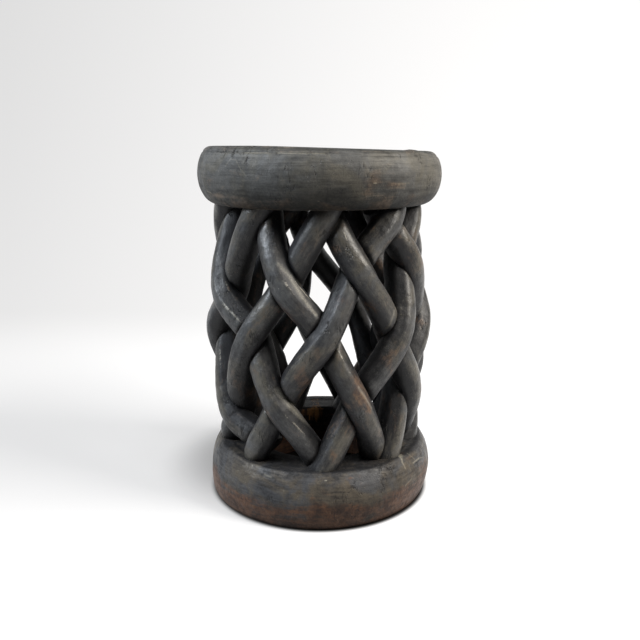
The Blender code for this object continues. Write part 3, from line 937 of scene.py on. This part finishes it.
def strand_laps(way, foot, places, spots):
    """How far a strand's points dive at its crossings, outside and inside, and the painted shade
    in the crease beside each strand that lies over it."""
    drop_out, drop_in, painted_shade = np.zeros((3, *spots.shape[:2]))
    for row in range(ROW_COUNT):
        column = crossing_column(way, foot, row)
        other = (column - crossing_column(-way, 0, row)) % STRANDS_PER_WAY
        near = np.abs(places - row) < LAP_ROWS
        beside = np.linspace(row - LAP_LINE_ROWS, row + LAP_LINE_ROWS, LAP_LINE_POINTS)
        other_angle, other_height = strand_line(-way, other, beside)
        turn, height = crossing(row, column)
        scale = float(barrel_radius(np.array(height))) + LAP_SKIN_RISE
        other_turn = np.arctan2(np.sin(other_angle - turn), np.cos(other_angle - turn))
        line = np.stack((other_turn * scale, other_height), axis=1)
        point_angle = np.arctan2(spots[near][..., 0], -spots[near][..., 1]) - turn
        point_turn = np.arctan2(np.sin(point_angle), np.cos(point_angle))
        points = np.stack((point_turn * scale, spots[near][..., 2]), axis=-1)
        gap = line_distance(points.reshape(-1, 2), line).reshape(points.shape[:2])
        gap -= STRAND_WIDTH / 2
        lies_over = (row % 2 == 0) == (way > 0)
        outer_dive = OUTER_DIVE * (1.0 if 0 < row < ROW_COUNT - 1 else END_DIVE_SHARE)
        if lies_over:
            drop_in[near] = np.maximum(drop_in[near],
                                       dive_depth(gap, OVER_END_ROUNDING, INNER_DIVE))
        else:
            drop_out[near] = np.maximum(drop_out[near],
                                        dive_depth(gap, OVER_END_ROUNDING, outer_dive))
            # Painted shade in the crease beside the strand above.
            painted_shade[near] = np.maximum(painted_shade[near], np.exp(-(gap / CREASE_SHADE_WIDTH) ** 2))
    return drop_out, drop_in, painted_shade


def trim_strand(mesh):
    """Cut a strand off flat, a little way into the ledge and into the seat."""
    form = bmesh.new()
    form.from_mesh(mesh)
    for height, normal_z in ((LEDGE_HEIGHT - STRAND_SINK, -1.0),
                             (SEAT_UNDERSIDE_HEIGHT + STRAND_SINK, 1.0)):
        everything = form.verts[:] + form.edges[:] + form.faces[:]
        cut = bmesh.ops.bisect_plane(form, geom=everything, plane_co=(0.0, 0.0, height),
                                     plane_no=(0.0, 0.0, normal_z), clear_outer=True)
        rim = [item for item in cut["geom_cut"] if isinstance(item, bmesh.types.BMEdge)]
        bmesh.ops.contextual_create(form, geom=rim)
    bmesh.ops.recalc_face_normals(form, faces=form.faces)
    form.to_mesh(mesh)
    form.free()
    mesh.shade_smooth()


def carved_strand(name, way, foot):
    """Fine mesh of one strand, with its attributes."""
    places = strand_places(way, foot)
    count = len(places)
    seed = 10.0 * foot + (5.0 if way > 0 else 0.0)
    middle, outward = strand_middle(way, foot, places)
    forward = unit(strand_middle(way, foot, places + FORWARD_STEP)[0]
                   - strand_middle(way, foot, places - FORWARD_STEP)[0])
    across = unit(np.cross(forward, outward))
    outward = unit(np.cross(across, forward))[:, None, :]
    up, out = strand_section(places, seed)
    corner = section_corners(up, out)
    inner = np.clip((-out - INNER_START) / INNER_START, 0, 1)
    along = np.concatenate(([0.0], np.cumsum(np.linalg.norm(np.diff(middle, axis=0), axis=1))))
    streaks_along = along[:, None] * STRAND_STREAK_SCALE + np.zeros_like(up)
    streak_place = np.stack((streaks_along, up + seed, out), axis=2)

    centre = middle[:, None, :]
    beside = centre + across[:, None, :] * (-way * up)[..., None]
    drop_out, drop_in, painted_shade = strand_laps(way, foot, places, beside + outward * out[..., None])
    top_share = (out + STRAND_INNER_THICKNESS) / (STRAND_THICKNESS / 2 + STRAND_INNER_THICKNESS)
    out = out - drop_out * top_share + drop_in * (1 - top_share)
    spots = beside + outward * out[..., None]
    away = unit(spots - centre)
    for ring in range(count):
        for side in range(STRAND_SIDES):
            off = hand_cut(Vector(spots[ring, side]), STRAND_WAVE_DEPTH, STRAND_TOOL_DEPTH)
            spots[ring, side] += away[ring, side] * off

    mesh = bpy.data.meshes.new(name)
    index = np.arange(count * STRAND_SIDES).reshape(count, STRAND_SIDES)
    quads = np.stack((index[:-1], np.roll(index[:-1], -1, 1),
                      np.roll(index[1:], -1, 1), index[1:]), axis=2).reshape(-1, 4)
    ends = [index[0].tolist(), index[-1][::-1].tolist()]
    mesh.from_pydata(spots.reshape(-1, 3), [], quads.tolist() + ends)
    paint_attribute(mesh, "corner", corner.ravel())
    paint_attribute(mesh, "inner", inner.ravel())
    paint_attribute(mesh, "streak_place", streak_place.reshape(-1, 3))
    paint_attribute(mesh, "painted_shade", painted_shade.ravel())
    trim_strand(mesh)

    inner = painted(mesh, "inner")
    corner = painted(mesh, "corner") * (CORNER_SHARE + spots_on(mesh, STRAND_RIDGES))
    painted_shade = np.clip(painted(mesh, "painted_shade") + spots_on(mesh, STRAND_SHADE_SPOTS), 0, 1)
    paint_attribute(mesh, "corner", corner)
    paint_attribute(mesh, "painted_shade", painted_shade)
    paint_wear(mesh, INNER_BARE_SHARE * inner + spots_on(mesh, STRAND_SPOTS),
               INNER_RAW_SHARE * inner, steepness=STRAND_WEAR_AND_SHADE_STEEPNESS)
    return mesh


strand_wood = stained_wood(
    "strand wood",
    colours={"Stain": (0.007, 0.007, 0.008), "Rubbed": (0.074, 0.075, 0.075),
             "Rubbed Warm": (0.092, 0.084, 0.068), "Bare": (0.128, 0.080, 0.050),
             "Bare Dark": (0.046, 0.029, 0.022), "Raw": (0.24, 0.14, 0.075),
             "Scuff": (0.32, 0.30, 0.25)},
    shares={"Rubbed": 0.50, "Bare": 0.14},
    surface={"Flats": 0.7, "Scratches": 1.0, "Checks": 1.0},
    contrast=0.8, polish=(0.52, 0.29), gloss=0.38, relief=0.0011,
    scratches=STRAND_SCRATCHES, cracks=STRAND_CRACKS)

for way, stem in ((1, "right_strand"), (-1, "left_strand")):
    for foot in range(STRANDS_PER_WAY):
        node = f"{stem}_{foot + 1}"
        strand = add_piece(node + "_carved", carved_strand(node + "_carved", way, foot),
                           strand_wood)
        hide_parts(node)

# Seat. A thick disc from the top of the log, rounded outside, with a narrow bevel round its
# top edge and a shallow dish. Its side is rubbed smooth, with fine level streaks.
SEAT_RADIUS = 0.1503
SEAT_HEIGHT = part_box("seat")[1].z
SEAT_WIDEST_DROP = 0.0325
SEAT_TOP_RADIUS = 0.134
SEAT_UNDERSIDE_RADIUS = 0.128
SEAT_DISH_RADIUS = 0.092
SEAT_DISH_DEPTH = 0.005
SEAT_TILT = 0.030
SEAT_TILT_START = -0.070
SEAT_CREASE_DROP = 0.0066
SEAT_CREASE_DEPTH = 0.0008
SEAT_CREASE_WIDTH = 0.0009
SEAT_LIP_ANGLE = 0.90
SEAT_LIP_WIDTH = 0.07
SEAT_LIP_HEIGHT = 0.0011
SEAT_WAVE_DEPTH = 0.0010
SEAT_TOOL_DEPTH = 0.00025
SEAT_SPOTS = ((23.5, 0.412, 0.009, 0.008, 0.7), (34, 0.405, 0.017, 0.004, 0.6),
              (20, 0.398, 0.008, 0.008, 0.4), (-36, 0.421, 0.016, 0.008, 0.35),
              (-58, 0.404, 0.012, 0.010, 0.45), (-52, 0.391, 0.030, 0.005, 0.4),
              (40, 0.390, 0.030, 0.006, 0.25))
SEAT_SCUFFS = (((-43.5, 0.424), (-41, 0.4315), 0.0014, 0.20),
               ((-41, 0.4315), (-37.5, 0.4305), 0.0012, 0.20),
               ((-37.5, 0.4305), (-34.5, 0.421), 0.0014, 0.18),
               ((-34.5, 0.421), (-31.5, 0.414), 0.0016, 0.14),
               ((-34, 0.438), (-22, 0.438), 0.0010, 0.30),
               ((-18, 0.438), (2, 0.4375), 0.0010, 0.35),
               ((20, 0.3935), (27.5, 0.394), 0.0010, 0.25),
               ((34.5, 0.4055), (41, 0.406), 0.0014, 0.20),
               ((-62.5, 0.3945), (-58.5, 0.393), 0.0010, 0.55),
               ((22.5, 0.407), (23.5, 0.407), 0.0010, 0.80))
TOP_WORN_SHARE = 0.30
TOP_BARE_SHARE = 0.10
TOP_FADE = 0.010
CREASE_FADE = 0.002
BEVEL_WIDTH = 0.006
BEVEL_BARE_SHARE = 0.30
BEVEL_SPARED_SHARE = 0.12
SEAT_LOW_HEIGHT = 0.393
SEAT_LOW_FADE = 0.010
SEAT_LOW_BARE_SHARE = 0.35
SEAT_STREAK_SCALE = (0.10, 0.10, 1.4)
SEAT_STREAK_LEAN = 1.2

seat_wood = stained_wood(
    "seat wood",
    colours={"Stain": (0.011, 0.011, 0.010), "Rubbed": (0.088, 0.087, 0.083),
             "Rubbed Warm": (0.100, 0.093, 0.077), "Bare": (0.145, 0.112, 0.083),
             "Bare Dark": (0.052, 0.038, 0.029), "Raw": (0.24, 0.14, 0.075),
             "Scuff": (0.32, 0.29, 0.22)},
    shares={"Rubbed": 0.48, "Bare": 0.08},
    surface={"Flats": 0.4, "Scratches": 1.0, "Checks": 0.8},
    contrast=0.6, polish=(0.64, 0.48), gloss=0.24, relief=0.0010, scratches=SEAT_SCUFFS)

dish_floor = SEAT_HEIGHT - SEAT_DISH_DEPTH
seat_profile = straight((0.004, dish_floor), (SEAT_DISH_RADIUS, dish_floor), 14)
for step in range(13):
    share = step / 12
    rise = (1 - math.cos(share * math.pi)) / 2
    seat_profile.append((SEAT_DISH_RADIUS + (SEAT_TOP_RADIUS - 0.004 - SEAT_DISH_RADIUS) * share,
                         dish_floor + SEAT_DISH_DEPTH * rise))
seat_profile += quarter_bulge((SEAT_TOP_RADIUS, SEAT_HEIGHT - 0.0003),
                              (SEAT_RADIUS, SEAT_HEIGHT - SEAT_WIDEST_DROP), 44)
seat_profile += quarter_bulge((SEAT_UNDERSIDE_RADIUS, SEAT_UNDERSIDE_HEIGHT),
                              (SEAT_RADIUS, SEAT_HEIGHT - SEAT_WIDEST_DROP), 30)[-2::-1]
seat_profile += straight((SEAT_UNDERSIDE_RADIUS - 0.004, SEAT_UNDERSIDE_HEIGHT),
                         (0.004, SEAT_UNDERSIDE_HEIGHT), 12)


def reshape_seat(angle, radius, height):
    outward = Vector((math.sin(angle), -math.cos(angle), 0.0))
    point = outward * radius + Vector((0.0, 0.0, height))
    if height <= SEAT_UNDERSIDE_HEIGHT:
        return point
    off = hand_cut(point, SEAT_WAVE_DEPTH, SEAT_TOOL_DEPTH)
    to_crease = (height - SEAT_HEIGHT + SEAT_CREASE_DROP) / SEAT_CREASE_WIDTH
    if radius > SEAT_TOP_RADIUS:
        off -= SEAT_CREASE_DEPTH * math.exp(-to_crease * to_crease)
    upper = (height - SEAT_UNDERSIDE_HEIGHT) / (SEAT_HEIGHT - SEAT_UNDERSIDE_HEIGHT)
    droop = SEAT_TILT * max(point.x - SEAT_TILT_START, 0.0)
    past_lip = (math.remainder(angle, 2 * math.pi) - SEAT_LIP_ANGLE) / SEAT_LIP_WIDTH
    if radius > SEAT_TOP_RADIUS - BEVEL_WIDTH:
        droop -= SEAT_LIP_HEIGHT * math.exp(-past_lip * past_lip)
    return point + outward * off - Vector((0.0, 0.0, droop * upper))


seat_mesh = turned_mesh("seat_carved", seat_profile, False, reshape_seat)
seat_places, _ = mesh_points(seat_mesh)
seat_reach = np.hypot(seat_places[:, 0], seat_places[:, 1])
above_crease = np.clip((seat_places[:, 2] - SEAT_HEIGHT + SEAT_CREASE_DROP + CREASE_FADE)
                       / CREASE_FADE, 0, 1)
bevel = above_crease * np.clip((seat_reach - SEAT_TOP_RADIUS + BEVEL_WIDTH) / BEVEL_WIDTH, 0, 1)
on_top = above_crease * fading(seat_reach, SEAT_TOP_RADIUS, TOP_FADE)
low_down = fading(seat_places[:, 2], SEAT_LOW_HEIGHT, SEAT_LOW_FADE)
paint_wear(seat_mesh, BEVEL_BARE_SHARE * bevel + TOP_BARE_SHARE * on_top
           + SEAT_LOW_BARE_SHARE * low_down + spots_on(seat_mesh, SEAT_SPOTS),
           np.zeros_like(bevel), BEVEL_SPARED_SHARE * bevel - TOP_WORN_SHARE * on_top)
streak_place = seat_places * SEAT_STREAK_SCALE
streak_place[:, 2] -= SEAT_STREAK_LEAN * seat_reach
paint_attribute(seat_mesh, "streak_place", streak_place)
seat = add_piece("seat_carved", seat_mesh, seat_wood)
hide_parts("seat")
